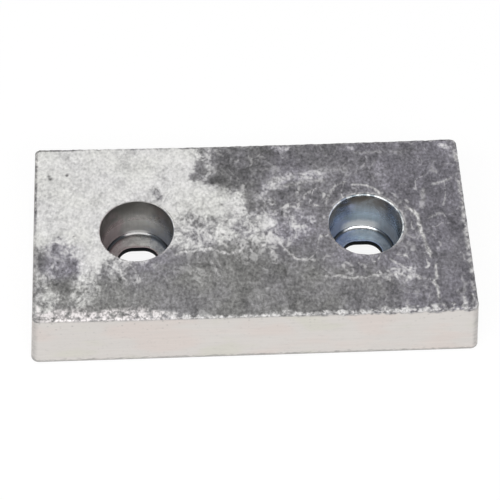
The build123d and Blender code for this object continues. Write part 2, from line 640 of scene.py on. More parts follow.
@dataclass(frozen=True)
class PlatedFinish:
    """Zinc plate with a passivate, over pressed steel.

    Its masks are shear, for the punched edge of the slot, painted near black, partly as dark
    oxidised steel and partly as painted shade, worn, for bare bright steel on the rim and for the
    painted highlights low at the back of the wall and the floor painted lighter, fume, for the dull
    stain that the pour left high on the wall, grime, for dirt on the rim and painted shade in the
    corner round the floor, bloom, for a matt white film that dulls the metal, and turn, which runs
    from 0 on the left of the cup to 1 on its right.
    """

    name: str
    plate: Colour
    left_film: Colour
    right_film: Colour
    fume: Colour = (0.145, 0.141, 0.128)
    grime_and_shade: Colour = (0.035, 0.04, 0.045)
    # Near black: partly oxidised steel, partly painted shade.
    shear_shade: Colour = (0.010, 0.012, 0.014)
    bright: Colour = (0.70, 0.70, 0.69)
    roughness: float = 0.24

    def material(self, groups: Groups) -> bpy.types.Material:
        """Builds the material.

        Args:
            groups: The shared shader groups.

        Returns:
            The material.
        """
        material, nodes = new_material(self.name)
        where = nodes.place()
        shear_shade, bloom = nodes.mask("shear_shade"), nodes.mask("bloom")
        grain = nodes.group(groups.grain, Vector=where, Size=1.6)
        specks = nodes.group(groups.specks, Vector=where, Scale=500.0, Share=0.10, Radius=0.30)
        drawn = where.stretched(1500.0, 1500.0, 60.0).noise(1.0, 3.0, 0.6)
        spun = where.stretched(60.0, 60.0, 1600.0).noise(1.0, 2.0, 0.5)
        cloud = where.noise(110.0, 3.0, 0.55, 0.7)

        veer = nodes.mask("turn") + cloud.remap(0.3, 0.7, -0.2, 0.2)
        colour = nodes.colour_mix(veer.remap(0.42, 0.12), self.plate, self.left_film)
        colour = nodes.colour_mix(veer.remap(0.60, 0.90), colour, self.right_film)
        colour = nodes.shaded(colour, drawn.remap(0.3, 0.7, 0.88, 1.10))
        stain = (nodes.mask("fume") * cloud.remap(0.3, 0.6, 0.6, 1.0)).clamped()
        gaps = nodes.math("MAXIMUM", grain.remap(0.64, 0.80, 0.5, 1.0), bloom)
        # Over the plate: fume stain, specks, bare steel and painted highlights, grime and painted shade, and
        # the shear face's painted shade.
        layers = ((stain, self.fume), (specks * 0.5, self.fume), (nodes.mask("wear_and_highlight") * gaps, self.bright),
                  (nodes.mask("grime_and_shade"), self.grime_and_shade), (shear_shade, self.shear_shade))
        for share, paint in layers:
            colour = nodes.colour_mix(share, colour, paint)

        rough = cloud.remap(0.3, 0.7, self.roughness - 0.05, self.roughness + 0.08) + stain * 0.18
        matt = nodes.math("MAXIMUM", shear_shade, bloom * 0.8)
        rough = nodes.math("MAXIMUM", rough, matt * 0.75)
        nodes.metal(colour, bloom.remap(0.0, 1.0, 1.0, 0.3), rough, {
            "Strength": 0.25, "Distance": 0.03 * MM, "Height": drawn * 0.6 + spun * 0.4 + grain * 0.25})
        return material


class Passivate(Enum):
    """The two tints that the plate of these cups has."""

    BLUE = PlatedFinish("zinc_plate_blue", plate=(0.226, 0.283, 0.334), left_film=(0.275, 0.34, 0.49),
                        right_film=(0.225, 0.265, 0.315), fume=(0.17, 0.148, 0.125),
                        bright=(0.88, 0.89, 0.88), roughness=0.17)
    GREY = PlatedFinish("zinc_plate_grey", plate=(0.235, 0.230, 0.221), left_film=(0.34, 0.275, 0.28),
                        right_film=(0.20, 0.22, 0.26))


# --------------------------------------------------------------------------- cups

@dataclass(frozen=True)
class CupSizes:
    """Sizes of a cup, taken from its node and from the record's mount."""

    centre: float
    rim_height: float
    underside: float
    outer_radius: float
    slot_length: float
    slot_width: float
    sheet: float = 3.0 * MM
    taper: float = math.radians(1.9)
    knuckle: float = 2.0 * MM
    land: float = 1.0 * MM
    punch_radius: float = 0.6 * MM

    @staticmethod
    def of(node: str) -> "CupSizes":
        """Reads a cup's sizes.

        Args:
            node: Name of the cup's node.

        Returns:
            The sizes.
        """
        low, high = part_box(node)
        dims = next(m["dims"] for m in frame["record"]["mounts"] if m["kind"] == "bolt_pattern")
        bevel = CupSizes.sheet / math.cos(CupSizes.taper) - CupSizes.land
        widest = (high.x - low.x) / 2 + bevel * math.tan(CupSizes.taper)
        return CupSizes(centre=(low.x + high.x) / 2, rim_height=high.z, underside=low.z,
                        outer_radius=widest, slot_length=dims["slot_length_mm"] * MM,
                        slot_width=2 * dims["hole_r_mm"] * MM)

    @property
    def mouth_radius(self) -> float:
        """Inner radius at the rim."""
        return self.outer_radius - self.sheet / math.cos(self.taper)

    @property
    def land_radius(self) -> float:
        """Outer radius of the flat ring on the rim."""
        return self.mouth_radius + self.land

    @property
    def shoulder(self) -> tuple[float, float]:
        """Radius and height at which the rim's bevel meets the outside of the wall."""
        bevel = self.outer_radius - self.land_radius
        return self.outer_radius - bevel * math.tan(self.taper), self.rim_height - bevel

    @property
    def floor(self) -> float:
        """Height of the floor's upper face."""
        return self.underside + self.sheet

    def bare(self, angle: np.ndarray) -> np.ndarray:
        """How bare the rim is at each angle: the cast skin leaves the back right of one cup clear."""
        return smoothstep(-0.70, 0.40, np.cos(angle - math.radians(56))) * (self.centre > 0)

    def knuckle_arc(self, outside: bool, count: int) -> np.ndarray:
        """Arc in which a floor turns up into the wall, on one side of the sheet.

        Its radius is the knuckle's, plus the sheet on the outside. The wall comes down from the
        rim, leaning in by the taper, and the arc touches it and the floor.

        Args:
            outside: Whether it is the outside of the sheet.
            count: Number of points.

        Returns:
            Their radii and heights, from the floor up.
        """
        radius = self.knuckle + self.sheet * outside
        rim, low = (self.outer_radius, self.underside) if outside else (self.mouth_radius, self.floor)
        flat = rim - (self.rim_height - low) * math.tan(self.taper)
        flat -= radius * math.tan(math.pi / 4 - self.taper / 2)
        angle = np.linspace(-math.pi / 2, -self.taper, count)
        return np.stack([flat + radius * np.cos(angle), low + radius + radius * np.sin(angle)], -1)


@dataclass(frozen=True)
class CupWear:
    """What the press and the years have left on one cup, and where light is painted on it.

    polish is the sine of the angle, from +X, at which the painted highlight band at the back of
    the floor's corner, and the painted glow low on the back wall, start. shine is how glossy
    that band is, the rest being matt bloom; it also sets how bright the glow is painted, and the
    less shine, the lighter the floor is painted. ease is the radius of the rim's inner edge.
    """

    passivate: Passivate
    highlight_start: float
    shine: float
    ease: float


@dataclass
class InsertCup:
    """A pressed cup with a slotted floor."""

    name: str
    node: str
    sizes: CupSizes
    wear: CupWear
    columns: int = 240
    corner_points: int = 14
    wall_points: int = 29
    crisp: float = 0.2 * MM
    burr: float = 0.15 * MM

    def _rings(self, profile: np.ndarray) -> np.ndarray:
        """Turns a profile round the cup's axis.

        Args:
            profile: Array of radii and heights.

        Returns:
            Array of rings, columns and coordinates.
        """
        angle, radius = turns(self.columns), profile[:, :1]
        plan = np.stack([self.sizes.centre + radius * np.cos(angle), radius * np.sin(angle)], -1)
        return raised(plan, profile[:, 1:])

    def _slot(self, margin: np.ndarray, height: np.ndarray) -> np.ndarray:
        """Rings that follow the slot's outline.

        The outline is two half circles joined by straight runs. Each column's way along it is in
        proportion to the column's angle, starting on +X.

        Args:
            margin: How far each ring lies outside the slot.
            height: Height of each ring.

        Returns:
            Array of rings, columns and coordinates.
        """
        s = self.sizes
        half_run = (s.slot_length - s.slot_width) / 2
        radius = s.slot_width / 2 + margin[:, None]
        quarter = math.pi / 2 * radius
        whole = 4 * (quarter + half_run)
        way = turns(self.columns)[None, :] / (2 * math.pi) * whole
        folded = np.where(way > whole / 2, whole - way, way)
        mirrored = np.where(folded > whole / 4, whole / 2 - folded, folded)
        turn = np.minimum(mirrored, quarter) / radius
        x = half_run + radius * np.cos(turn) - np.maximum(mirrored - quarter, 0.0)
        y = radius * np.sin(turn)
        x = np.where(folded > whole / 4, -x, x)
        y = np.where(way > whole / 2, -y, y)
        return raised(np.stack([s.centre + x, y], -1), height[:, None])

    def _profile(self) -> np.ndarray:
        """Section of the inside: knuckle, wall, eased rim, flat land and the bevel under the skin.

        Returns:
            Radii and heights, from the floor up and over the rim.
        """
        s, ease = self.sizes, self.wear.ease
        knuckle = s.knuckle_arc(False, self.corner_points)
        top = np.array([[s.mouth_radius - ease * math.tan(s.taper), s.rim_height - ease]])
        wall = mix(knuckle[-1:], top, np.linspace(0.0, 1.0, self.wall_points + 1)[1:, None])
        turn = np.linspace(0.0, math.pi / 2, 5)[1:]
        eased = top + ease * np.stack([1 - np.cos(turn), np.sin(turn)], -1)
        rim = np.array([[s.land_radius - self.crisp, s.rim_height],
                        [s.land_radius, s.rim_height - self.crisp / 2], s.shoulder])
        return np.concatenate([knuckle, wall, eased, rim])

    def _stains(self, profile: np.ndarray) -> Masks:
        """Masks of the inside.

        The corner round the floor is painted bright at the back, as a highlight band, and holds
        painted shade: a thin dark line all round where it meets the floor, and a wider one everywhere
        but at the back. Low on the wall the plate has a matt bloom, brightest at the back, where the
        wall is also painted lighter as a glow, and fume stains it from the rim down. The rim is scraped
        bright where the skin left it bare, and dirty where it is bare but not scraped.

        Args:
            profile: What _profile returned.

        Returns:
            The masks, by row and column.
        """
        s, highlight_start, shine = self.sizes, self.wear.highlight_start, self.wear.shine
        angle = turns(self.columns)[None, :]
        row = np.arange(len(profile))[:, None]
        top_row = self.corner_points + self.wall_points - 1
        corner = row / (self.corner_points - 1)
        below_rim = s.rim_height - profile[:, 1:]
        above = (profile[:, 1:] - s.floor) / MM
        back = smoothstep(highlight_start, highlight_start + 0.10, np.sin(angle))
        # The back of the corner is painted bright: a painted highlight band.
        clean = back * smoothstep(0.15, 0.35, corner) * fall(1.4, 2.4, above)
        # glow paints the low back wall lighter: a painted highlight.
        glow = smoothstep(highlight_start - 0.08, 0.95, np.sin(angle)) * fall(3.0, 6.5, above)
        bloom = smoothstep(0.5, 0.75, corner) * np.maximum(0.8 * fall(3, 17, above), glow)
        bloom = np.maximum(bloom, 1.3 * (1 - shine) * clean)
        # Painted shade: a thin dark line where the corner meets the floor, and a wider one everywhere but at
        # the back.
        crease = 0.8 * smoothstep(0.0, 0.1, corner) * fall(0.15, 0.30, corner)
        line = (1 - back) * smoothstep(0.1, 0.25, corner) * fall(0.45, 0.65, corner)
        # How much the wall is painted lighter: the painted glow, and a little wherever bloom lies.
        low = np.maximum(shine * glow, 0.22 * bloom)
        bare = s.bare(angle)
        scraped = smoothstep(-0.5, 0.2, rim_noise(angle, 2.6 * MM, 72))
        return {"fume": np.where(row <= top_row, fall(1.0 * MM, 15 * MM, below_rim), 0),
                "wear_and_highlight": np.where(row >= top_row, 0.12 + 0.80 * bare * mix(0.15, 1.0, scraped),
                                 np.maximum(clean, low)),
                "grime_and_shade": np.where(row >= top_row, 0.35 * bare * (1 - scraped), np.maximum(crease, line)),
                "turn": (1 + np.cos(angle)) / 2, "bloom": bloom}

    def mesh(self) -> bpy.types.Object:
        """Builds the cup: floor, wall and rim turned from a profile, and the slot through it.

        Returns:
            The cup, without its material.
        """
        s = self.sizes
        shell = Shell(("shear_shade", "wear_and_highlight", "fume", "grime_and_shade", "turn", "bloom"))
        profile = self._profile()
        stains = self._stains(profile)
        shell.grid(self._rings(profile), stains)

        # Outside, hidden in the casting, down to the flat underside.
        outside = s.knuckle_arc(True, 8)[::-1]
        shell.grid(self._rings(np.concatenate([profile[-1:], outside])), {})

        # Underside, shear, punched edge and floor, from the outside knuckle in and back out.
        fold = np.linspace(0.0, math.pi / 2, 5)[1:]
        r = s.punch_radius
        margin = np.concatenate([[self.burr], np.zeros(5), r * (1 - np.cos(fold))])
        height = np.concatenate([[s.underside], np.linspace(s.underside + self.burr, s.floor - r, 5),
                                 s.floor - r + r * np.sin(fold)])
        slot = self._slot(margin, height)
        # The shear face is painted near black: partly dark oxidised steel, partly painted shade.
        shear_shade = np.concatenate([np.ones(7), [0.7, 0.3, 0.0]])
        shell.grid(slot, {"shear_shade": shear_shade[:, None]})
        shell.grid(mix(self._rings(outside[-1:]), slot[:1], np.linspace(0.0, 1.0, 6)[:, None, None]), {})
        share = (np.linspace(0.0, 1.0, 16) ** 0.7)[:, None]
        floor = mix(slot[-1:], self._rings(profile[:1]), share[..., None])
        inner = fall(0.8, 1.0, share)
        # The floor is painted lighter, as painted light, except near the wall, and holds painted shade at
        # its outer edge.
        shell.grid(floor, {"grime_and_shade": 0.3 * smoothstep(0.93, 1.0, share), "turn": stains["turn"],
                           "wear_and_highlight": (0.93 - 0.69 * self.wear.shine) * inner, "bloom": 0.35 * inner})
        return shell.finished(self.name, math.radians(38))

    def build(self, groups: Groups) -> bpy.types.Object:
        """Builds and dresses the cup, in place of its node.

        Args:
            groups: The shared shader groups.

        Returns:
            The cup.
        """
        piece = self.mesh()
        piece.data.materials.append(self.wear.passivate.value.material(groups))
        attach(piece, BODY)
        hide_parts(self.node)
        return piece


# --------------------------------------------------------------------------- wear face

@dataclass(frozen=True)
class Fold:
    """A crease where cold skin lapped over itself: points in millimetres, height and paleness."""

    points: Path
    height: float = 0.30
    width: float = 0.55
    pale: float = 0.8

    def path(self) -> np.ndarray:
        """The points in metres, with each corner cut twice at a quarter and three quarters.

        Returns:
            Array of points along X and Y.
        """
        line = np.array(self.points) * MM
        for _ in range(2):
            cut = np.stack([mix(line[:-1], line[1:], 0.25), mix(line[:-1], line[1:], 0.75)], 1)
            line = np.concatenate([line[:1], cut.reshape(-1, 2), line[-1:]])
        return line

    def near(self, x: np.ndarray, y: np.ndarray) -> tuple[np.ndarray, np.ndarray]:
        """Signed distance from the line and share of its length at the nearest point.

        The nearest straight run gives the distance, positive on its left.

        Args:
            x: First coordinate of each point.
            y: Second coordinate of each point.

        Returns:
            Two arrays: the distances and the shares.
        """
        line = self.path()
        run = np.diff(line, axis=0)
        length = np.hypot(run[:, 0], run[:, 1])
        wx, wy, share, gap = to_runs(x, y, line[:-1], run)
        best = np.argmin(gap, axis=1)
        pick = (np.arange(len(best)), best)
        side = np.sign(run[best, 0] * wy[pick] - run[best, 1] * wx[pick])
        along = (np.cumsum(length) - length)[best] + share[pick] * length[best]
        return (side * gap[pick]).reshape(x.shape), (along / length.sum()).reshape(x.shape)


@dataclass(frozen=True)
class Blotch:
    """An oval patch of skin, in millimetres, laid over what is under it."""

    x: float
    y: float
    half_x: float
    half_y: float
    tone: float
    feather: float = 0.5
    turn: float = 0.0

    def weight(self, x: np.ndarray, y: np.ndarray, ragged: np.ndarray) -> np.ndarray:
        """1 inside, 0 outside, by the distance from the middle as a share of the oval's radius.

        Args:
            x: First coordinate of each point.
            y: Second coordinate of each point.
            ragged: Noise that is added to that distance.

        Returns:
            One weight for each point.
        """
        angle = math.radians(self.turn)
        dx, dy = x / MM - self.x, y / MM - self.y
        u = (dx * math.cos(angle) + dy * math.sin(angle)) / self.half_x
        v = (dy * math.cos(angle) - dx * math.sin(angle)) / self.half_y
        return fall(1 - self.feather / 2, 1 + self.feather / 2, np.hypot(u, v) + ragged)


@dataclass(frozen=True)
class Zone:
    """A patch of skin with a drawn outline, in millimetres, laid over what is under it."""

    points: Path
    tone: float
    feather: float = 1.5
    wander: float = 3.0

    def weight(self, x: np.ndarray, y: np.ndarray, ragged: np.ndarray) -> np.ndarray:
        """1 inside, 0 outside, by the distance from the outline.

        A point is inside where a ray along +X crosses the outline an odd number of times.

        Args:
            x: First coordinate of each point.
            y: Second coordinate of each point.
            ragged: Noise that moves the outline out and in, times wander.

        Returns:
            One weight for each point.
        """
        start = np.array(self.points, float)
        run = np.roll(start, -1, axis=0) - start
        wx, wy, _, gap = to_runs(x / MM, y / MM, start, run)
        spans = (wy >= 0) != (wy >= run[:, 1])
        slope = run[:, 0] / np.where(run[:, 1] == 0, 1.0, run[:, 1])
        inside = np.sum(spans & (wx < wy * slope), axis=1) % 2 == 1
        nearest = gap.min(axis=1)
        reach = np.where(inside, nearest, -nearest).reshape(x.shape) + self.wander * ragged
        return smoothstep(-self.feather, self.feather, reach)


def patches(*rows: tuple) -> tuple[Blotch | Zone, ...]:
    """A Zone for each row that starts with an outline, and a Blotch for each other row."""
    return tuple((Zone if isinstance(row[0], tuple) else Blotch)(*row) for row in rows)


def laid(base: float, cover: Sequence[Blotch | Zone], x: np.ndarray, y: np.ndarray,
         ragged: np.ndarray) -> np.ndarray:
    """A value with patches laid over it, each over the ones before it.

    Args:
        base: Value where there is no patch.
        cover: The patches.
        x: First coordinate of each point.
        y: Second coordinate of each point.
        ragged: Noise that frays the patches' edges.

    Returns:
        One value for each point.
    """
    value = np.full(x.shape, base)
    for patch in cover:
        value = mix(value, patch.tone, patch.weight(x, y, ragged))
    return value


FOLDS = tuple(Fold(*row) for row in (
    (((-95.7, -6), (-95.9, -20), (-95.6, -30), (-95.8, -40)), 0.05, 0.5, 0.35),
    (((-95.2, -38), (-95.4, -43), (-93.5, -46), (-89, -46.2)), 0.2, 0.5, 0.8),
    (((95.4, -39), (95.5, -43.5), (94, -45.8), (90, -46.2)), 0.2, 0.5, 0.9),
    (((-37, -14.5), (-33, -12.6), (-26, -11.6), (-21, -10.2), (-17, -11.2), (-12, -13.6), (-7, -13.2),
      (-3, -10), (0, -9)), 0.35, 0.5, 0.85),
    (((3, -8.8), (6.5, -10), (8, -12.4), (9, -15.5)), 0.3, 0.5, 0.9),
    (((11.5, -6.5), (14, -11), (16.5, -15.5), (20, -18.3), (30.5, -18.4)), 0.3, 0.45, 0.9),
    (((9, 25.5), (14, 27.6), (20, 29.3), (27, 30)), 0.1, 1.3, 0.5),
    (((27, 30.5), (36, 31.6), (47, 31)), 0.1, 1.6, 0.22),
    (((13, 22.4), (20, 24), (27, 25.6), (36, 26)), 0.1, 0.9, 0.42),
    (((-26.5, 45), (-24.5, 42), (-23, 38.5)), 0.15, 0.5, 0.7),
    (((-23.5, 45.6), (-21.5, 42), (-20.5, 38)), 0.15, 0.5, 0.8),
    (((-21, 45.8), (-19, 42.6), (-17, 40)), 0.15, 0.45, 0.7),
    (((-19.5, 37.5), (-18, 34.5), (-17.5, 31)), 0.15, 0.45, 0.6),
    (((-8, 40), (-5.5, 38.5), (-3.5, 39.5)), 0.15, 0.5, 0.5),
    (((-14.5, 46), (-13, 42.5), (-10.5, 41)), 0.15, 0.5, 0.5),
    (((0.5, 42), (2.5, 38), (1, 34)), 0.12, 0.5, 0.4),
    (((-6, 30), (-4.6, 27), (-5.4, 23.5)), 0.15, 0.5, 0.6),
    (((70, 9.5), (74, 6.5), (75.6, 3), (76, -5), (77.5, -12), (79.5, -20.5)), 0.35, 0.68, 1.1),
    (((80.6, -22), (80.8, -30), (78.6, -32), (80.6, -36), (80.2, -43.5)), 0.3, 0.5, 1.0),
    (((28, -27), (38, -27.6), (42.5, -29.2), (48, -28.6), (57, -27.6), (66, -28), (73, -30),
      (78.5, -31.8)), 0.2, 0.4, 0.7),
    (((39, -21), (41.5, -24.5), (44, -29)), 0.2, 0.5, 0.5),
    (((77.5, 7), (78.6, 13), (79.6, 20)), 0.15, 1.0, 0.35),
    (((83, 21), (89, 22.8), (93.5, 25)), 0.2, 0.5, 0.55),
    (((92, 26), (96, 24.5), (96.2, 14)), 0.2, 0.5, 0.6),
    (((80, 1.5), (84, 4.5), (88, 5)), 0.15, 0.6, 0.35),
    (((34, 8), (34.6, 14), (37, 19.5), (41, 23.8), (46, 24.6)), 0.2, 0.42, 0.6),
    (((46, 22.6), (51, 22.8), (55.5, 21.4), (58.6, 18.6), (60, 16)), 0.25, 0.42, 0.8),
    (((39.5, -20.5), (42.4, -21), (44.4, -23.6), (43.8, -26.6), (41.5, -28)), 0.2, 0.45, 0.5),
    (((46.5, -20), (49, -22.5), (50, -26)), 0.2, 0.45, 0.4),
    (((60, -18), (62.5, -21.5), (65.5, -23), (69, -27), (74, -30)), 0.2, 0.42, 0.6),
    (((58, -26), (62, -24.5), (66, -25.5)), 0.2, 0.42, 0.6),
    (((-59, -20), (-58.5, -24), (-56, -28), (-55.5, -31)), 0.2, 0.4, 0.8),
    (((-35.5, 13.5), (-31, 8.5), (-29.5, 3.5), (-25.5, 0.5), (-20, -1)), 0.25, 0.6, 0.6),
    (((-34, 9.5), (-31.5, 4), (-30.5, -2), (-27, -7)), 0.2, 0.5, 0.5),
    (((-33, 15), (-28, 9.5), (-25, 5.5), (-19, 3)), 0.2, 0.5, 0.45),
    (((-3, 26), (-2.5, 20), (-4.5, 14), (-4, 9)), 0.3, 0.6, 0.5),
    (((2, 21), (6, 16), (7, 11), (12, 8)), 0.2, 0.5, 0.5),
    (((7.5, 27), (10, 23.5), (15, 26.5), (20, 28.5), (27, 28), (31, 25)), 0.25, 0.6, 0.6),
    (((19.5, 9), (23, 13), (26, 19), (30, 21)), 0.2, 0.5, 0.45),
    (((-19, -17), (-17, -22), (-14.5, -26)), 0.2, 0.5, 0.5),
    (((88, -37), (91, -40), (92, -44)), 0.25, 0.6, 0.7),
    (((48, 41.6), (56, 41), (64, 41.3), (73, 40.6)), 0.08, 0.7, 0.25),
))

PATCHES = patches(
    (90, -5, 20, 44, 0.16, 0.8), (0, -22, 85, 26, 0.25, 0.8), (-52, -33, 46, 17, 0.31, 0.7),
    (((-99, 50), (-25, 50), (-20, 42), (-25, 33), (-16, 26), (-13, 21), (-14, 8), (-26, 9), (-33, 2),
      (-36, -10), (-52, -18), (-60, -15), (-66, -18), (-70, -25), (-77, -25), (-80, -12), (-90, -8),
      (-99, -8)), 0.85, 2.5, 4.0),
    (((-26, 28), (-14, 26), (-5, 21), (-3, 8), (16, 9), (20, 0), (15, -8), (-3, -8), (-20, -8),
      (-33, -11), (-34, 8), (-22, 10)), 0.62, 4.0, 4.0),
    (((-27, 29), (-15, 26), (-5, 20), (-4, 8), (-14, 5), (-28, 8)), 0.77, 4.0, 5.0),
    (-27, -2, 6, 8, 0.60, 0.9, 30),
    (((-22, 48), (-15, 48), (-13, 30), (-20, 31)), 0.56, 4.0, 6.0),
    (((-15, 48), (12, 48), (8, 35), (10, 24), (1, 20), (-6, 24), (-17, 26), (-13, 34)), 0.15, 2.5, 6.0),
    (20, 1, 10, 8, 0.45, 0.9), (6, 17, 5, 4, 0.44, 1.2), (46, -17, 9, 3, 0.34, 1.3),
    (-15, 27.5, 4.5, 2.4, 0.04, 0.9), (-24, 30, 3.5, 2.4, 0.26, 1.0), (-73, -27, 4.5, 10, 0.66, 1.0, -12),
    (-76, -36, 4, 6, 0.60, 1.0, -25), (-61, -21, 5, 6, 0.46, 0.9), (-86, -14, 8, 8, 0.36, 1.1),
    (-90, -27, 9, 9, 0.46, 1.0), (-83, -29, 2.5, 3.5, 0.20, 1.0), (-92, -39, 5, 5, 0.58, 0.9),
    (11.5, 23.5, 4.2, 2.8, 0.58, 1.0), (24, 28.5, 14, 4.0, 0.42, 1.3, 6), (61, 28, 2.6, 9, 0.38, 1.2),
    (66, -27, 5.5, 4.5, 0.54, 1.3, -12), (94.5, 42.5, 4, 6, 0.40, 1.2), (91, 43.5, 3, 1.3, 0.56, 1.0, -20),
    (16, 45, 5, 1.4, 0.60, 1.0), (48, 44, 4, 1.4, 0.45, 1.0), (-90.5, 10, 1.3, 19, 0.77, 1.2),
    (-43, 22.5, 2.6, 2.6, 0.50, 0.9), (-40.5, 19, 2.0, 3.2, 0.60, 0.9, 30),
)

HUES = patches(
    (60, 12, 55, 60, 0.85, 0.9), (92, -5, 30, 60, 1.05, 0.9), (-40, -24, 13, 12, 0.85, 0.9),
    (-86, -15, 11, 10, 1.00, 0.8), (-5, -34, 62, 16, 0.10, 0.8),
)

LACES = patches(
    (-60, 25, 45, 36, 0.10, 0.5), (-30, 6, 12, 16, 0.70, 0.8), (10, 0, 26, 14, 0.75, 0.8),
    (22, 14, 18, 10, 0.80, 0.8), (-4, 30, 12, 14, 0.10, 0.8), (66, -25, 18, 8, 0.90, 0.8),
    (80, 8, 14, 18, 0.45, 0.8), (-60, -24, 14, 10, 0.60, 0.8), (20, -14, 14, 8, 0.60, 0.8),
    (0, -35, 60, 9, 0.05, 0.6),
)

# Middle and radius of each pore, in millimetres.
PORES = (
    (-90.3, 30.5, 1.5), (-91.0, 31.9, 1.0), (-82.8, 32.4, 0.8), (-76.5, 29.2, 0.5), (-42.5, 23.6, 0.9),
    (-79.5, -2.2, 0.5), (-66.0, 4.5, 0.3), (18.5, -6.5, 0.4), (-16.5, 26.5, 1.3), (29.0, 35.5, 1.1),
)


@dataclass(frozen=True)
class WearFace:
    """The front of the block: a shallow dish with folds, skin patches, pores and torn crumbs."""

    half_length: float
    half_width: float
    end_height: float
    cups: tuple[CupSizes, ...]
    dish: float
    ceiling: float
    sink: float = 0.12 * MM
    lip_width: float = 3.0 * MM
    lip_height: float = 0.05 * MM
    tone: float = 0.20
    hue: float = 0.22
    lace: float = 0.25

    def dish_height(self, x: np.ndarray) -> np.ndarray:
        """Height of the dish: an arc of a circle through both ends and the lowest line."""
        radius = (self.half_length ** 2 + self.dish ** 2) / (2 * self.dish)
        return self.end_height - self.dish + radius - np.sqrt(
            radius ** 2 - np.minimum(x ** 2, self.half_length ** 2))

    def lip_radius(self, cup: CupSizes, angle: np.ndarray) -> np.ndarray:
        """Radius of the skin's edge round a cup.

        Thin skin has run over the rim's flat ring. It leaves the ring bare round the back right
        of the cup on the right.

        Args:
            cup: Sizes of the cup.
            angle: Angles from +X.

        Returns:
            The radius at each angle.
        """
        bare = cup.bare(angle)
        cover = mix(0.20, 0.86, bare) + mix(0.16, 0.34, bare) * np.clip(rim_noise(angle, 4 * MM, 71), -1, 1)
        return cup.mouth_radius + np.clip(cover, 0.05, 0.97) * MM

    def crumbs(self, x: np.ndarray, y: np.ndarray) -> np.ndarray:
        """How much torn bright metal there is: most along the front edge, and widest at its left.

        Args:
            x: First coordinate of each point.
            y: Second coordinate of each point.

        Returns:
            0 to 1 for each point.
        """
        left = smoothstep(-28, -50, x / MM) * smoothstep(-100, -90, x / MM)
        reach = 1.9 + 0.6 * smoothstep(-8, -32, x / MM) + 4.4 * left
        reach = reach + 1.7 * smoothstep(48, 62, x / MM) + 1.5 * fractal_noise(x, y, 8 * MM, 31)
        from_front = (y + self.half_width) / MM
        noise = fractal_noise(0.75 * x, y, 2.4 * MM, 32)
        lumps = smoothstep(mix(-0.15, -0.62, left), mix(0.44, 0.0, left), noise)
        return fall(0.55, 1.05, from_front / np.maximum(reach, 0.4)) * lumps

    def _creases(self, x: np.ndarray, y: np.ndarray, rise: np.ndarray) -> tuple[np.ndarray, np.ndarray]:
        """Adds the folds: each a bell-shaped ridge between skin that stands higher on its left.

        Args:
            x: First coordinate of each point.
            y: Second coordinate of each point.
            rise: What each point is raised by so far.

        Returns:
            What each point is raised by with the folds, and how pale they make it.
        """
        crest = np.zeros(x.shape)
        wx, wy = (v + 0.5 * MM * fractal_noise(x, y, 3.2 * MM, seed) for v, seed in ((x, 51), (y, 52)))
        strength = np.clip(0.8 + 0.8 * fractal_noise(x, y, 4 * MM, 53, 2), 0.1, 1.3)
        for fold in FOLDS:
            gap, along = fold.near(wx, wy)
            away = np.abs(gap)
            fade = smoothstep(0.0, 0.12, along) * fall(0.88, 1.0, along)
            ridge = np.exp(-(gap / (fold.width * MM)) ** 2) * fade * strength
            step = 0.25 * np.exp(-away / (3 * MM)) * np.sign(gap) * smoothstep(0, 0.4 * MM, away)
            rise = rise + fold.height * MM * (ridge + step * fade)
            crest = np.maximum(crest, fold.pale * np.clip(1.6 * ridge, 0, 1))
        return rise, crest

    def surface(self, x: np.ndarray, y: np.ndarray) -> tuple[np.ndarray, Masks]:
        """Height and masks of the face at each point.

        The height is the dish, plus slow waves, grain, fold ridges and crumbs, minus pores, and
        it runs level into the rim round each cup.

        Args:
            x: First coordinate of each point.
            y: Second coordinate of each point.

        Returns:
            The heights, and the masks tone, hue, lace, crest, blush and pit.
        """
        ragged = fractal_noise(x, y, 9 * MM, 11, 4, 0.68)
        rise = 0.12 * MM * fractal_noise(x, y, 24 * MM, 41, 2) + 0.05 * MM * fractal_noise(x, y, 3 * MM, 43)
        rise, crest = self._creases(x, y, rise)
        crumbs = self.crumbs(x, y)
        rise = rise + 0.22 * MM * crumbs
        # The right end's edge is painted pale: a painted edge highlight.
        edge_highlight = smoothstep(94.6, 96.4, x / MM) * smoothstep(-0.35, 0.15, fractal_noise(x, y, 3.5 * MM, 55))
        crest = np.maximum.reduce([crest, 0.75 * edge_highlight, 0.95 * crumbs])

        pit = np.zeros(x.shape)
        for px, py, size in PORES:
            hollow = fall(0.35, 1.1, np.hypot(x - px * MM, y - py * MM) / (size * MM) + 0.25 * ragged)
            pit = np.maximum(pit, 0.85 * hollow)
            rise = rise - 0.35 * size * MM * hollow
        height = self.dish_height(x) - self.sink + rise

        for cup in self.cups:
            angle = np.arctan2(y, x - cup.centre)
            beyond = np.hypot(x - cup.centre, y) - self.lip_radius(cup, angle)
            height = mix(cup.rim_height + self.lip_height, height, smoothstep(0.0, self.lip_width, beyond))
            # A pale line just outside each lip: a painted highlight, round the back right of the right cup
            # and weaker all round the left cup.
            lit = np.where(cup.centre > 0, 0.55 * cup.bare(angle), 0.3)
            crest = np.maximum(crest, lit * np.exp(-((beyond - 0.4 * MM) / (0.45 * MM)) ** 2))
        return np.minimum(height, self.ceiling), {
            "tone": laid(self.tone, PATCHES, x, y, 0.35 * ragged),
            "hue": laid(self.hue, HUES, x, y, 0.2 * ragged),
            "lace": laid(self.lace, LACES, x, y, 0.3 * ragged),
            "crest": crest, "pit": pit,
            "blush": smoothstep(-30 * MM, -50 * MM, x) * smoothstep(-36 * MM, -41 * MM, y)}


# --------------------------------------------------------------------------- casting

